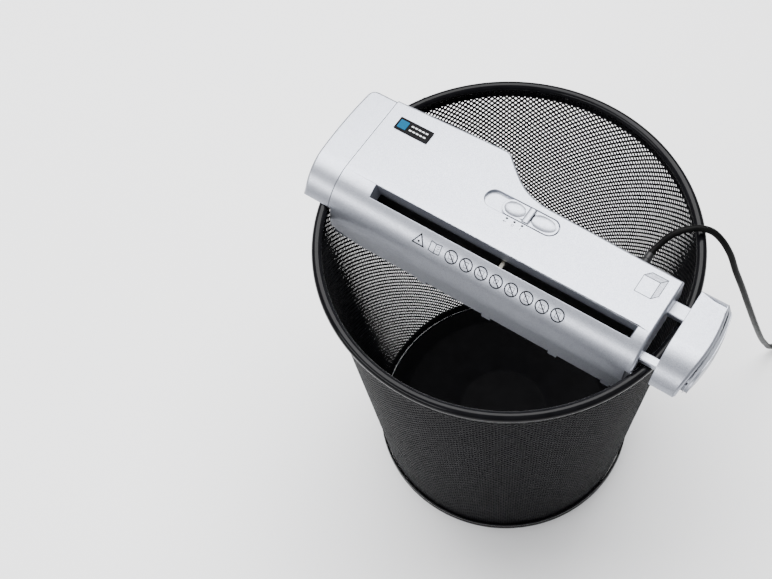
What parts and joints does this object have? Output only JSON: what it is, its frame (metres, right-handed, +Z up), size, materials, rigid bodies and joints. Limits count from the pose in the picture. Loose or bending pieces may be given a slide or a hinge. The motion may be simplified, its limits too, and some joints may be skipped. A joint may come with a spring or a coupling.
{
  "type": "paper shredder",
  "caption": "Strip-cut paper shredder with a telescopic end that rests across the rim of its round mesh waste basket, with a mains cord.",
  "frame": {"origin": "centre of the basket's round base, on the floor", "axes": "+Z up, +X along the head towards the telescopic end, +Y to the back where the cord leaves"},
  "size_m": [0.4642, 0.3715, 0.3543],
  "materials": {
    "silver_plastic": "metallic silver paint, satin, with fine flake",
    "black_steel": "semi-gloss black enamel",
    "black_plastic": "fine-grained",
    "steel": "turned and lightly oiled",
    "nylon": "natural nylon",
    "bronze": "sintered bronze",
    "board": "solder-masked laminate",
    "cord": "satin PVC",
    "red_film": "dipped"
  },
  "bodies": {
    "basket": {"basket_rim": "black_steel", "basket_wall": "black_steel", "basket_base_hoop": "black_steel", "basket_floor_pan": "black_steel", "cord_coil": "cord", "coil_tie": "black_plastic", "cord_tail": "cord", "plug_strain_relief": "black_plastic", "plug_body": "black_plastic", "plug_pin_1": "steel", "plug_pin_2": "steel"},
    "head": {"upper_housing": "silver_plastic", "lower_housing": "silver_plastic", "left_cap": "silver_plastic", "badge_plate": "black_plastic", "paper_guide_front": "black_plastic", "paper_guide_rear": "black_plastic", "gearbox_cover": "black_plastic", "motor_end_cap": "black_plastic", "selector_switch": "black_plastic", "relay": "black_plastic", "paper_switch": "black_plastic", "strain_relief": "black_plastic", "housing_screw_1": "steel", "housing_screw_2": "steel", "housing_screw_3": "steel", "frame_plate_left": "steel", "frame_plate_right": "steel", "tie_rod_front": "steel", "tie_rod_rear": "steel", "tie_rod_lower": "steel", "gear_axle_1": "steel", "gear_axle_2": "steel", "motor_can": "steel", "stripper_comb_front": "nylon", "stripper_comb_rear": "nylon", "fuse": "nylon", "terminal_block": "nylon", "bush_front_left": "bronze", "bush_front_right": "bronze", "bush_rear_left": "bronze", "bush_rear_right": "bronze", "circuit_board": "board", "mains_cord": "cord", "capacitor": "red_film"},
    "front_cutter": {"cutting_roller_front": "steel", "sync_gear_front": "steel"},
    "rear_cutter": {"cutting_roller_rear": "steel", "sync_gear_rear": "steel", "drive_gear": "steel"},
    "second_gear": {"second_reduction_gear": "nylon"},
    "first_gear": {"first_reduction_gear": "nylon"},
    "rotor": {"motor_armature": "steel", "motor_pinion": "bronze"},
    "sensor_lever": {"paper_lever": "nylon"},
    "selector": {"selector_slider": "silver_plastic"},
    "extension": {"arm_front": "silver_plastic", "arm_rear": "silver_plastic", "end_cap_upper": "silver_plastic", "end_cap_tray": "silver_plastic"}
  },
  "joints": [
    {"name": "head_lift", "type": "slide", "parent": "basket", "child": "head", "axis": [0, 0, 1], "range_m": [0, 0.06]},
    {"name": "extension_slide", "type": "slide", "parent": "head", "child": "extension", "axis": [1, 0, 0], "range_m": [-0.0131, 0.055]},
    {"name": "selector_slide", "type": "slide", "parent": "head", "child": "selector", "axis": [1, 0, 0], "range_m": [-0.0129, 0]},
    {"name": "rear_cutter_spin", "type": "hinge", "parent": "head", "child": "rear_cutter", "pos_m": [0, -0.0155, 0.312], "axis": [1, 0, 0], "continuous": true},
    {"name": "front_cutter_spin", "type": "hinge", "parent": "head", "child": "front_cutter", "pos_m": [0, -0.0355, 0.312], "axis": [1, 0, 0], "continuous": true},
    {"name": "second_gear_spin", "type": "hinge", "parent": "head", "child": "second_gear", "pos_m": [0, 0.00136, 0.32493], "axis": [1, 0, 0], "continuous": true},
    {"name": "first_gear_spin", "type": "hinge", "parent": "head", "child": "first_gear", "pos_m": [0, 0.022, 0.31479], "axis": [1, 0, 0], "continuous": true},
    {"name": "rotor_spin", "type": "hinge", "parent": "head", "child": "rotor", "pos_m": [0, 0.0285, 0.332], "axis": [1, 0, 0], "continuous": true},
    {"name": "paper_lever_tilt", "type": "hinge", "parent": "head", "child": "sensor_lever", "pos_m": [0.01, -0.0193, 0.3366], "axis": [1, 0, 0], "range_deg": [0, 25], "stiffness_Nm_per_rad": 0.004}
  ],
  "couplings": [
    {"joint": "front_cutter_spin", "follows": "rear_cutter_spin", "ratio": -1},
    {"joint": "second_gear_spin", "follows": "rear_cutter_spin", "ratio": -2.4},
    {"joint": "first_gear_spin", "follows": "rear_cutter_spin", "ratio": 8.64},
    {"joint": "rotor_spin", "follows": "rear_cutter_spin", "ratio": -31.104}
  ]
}
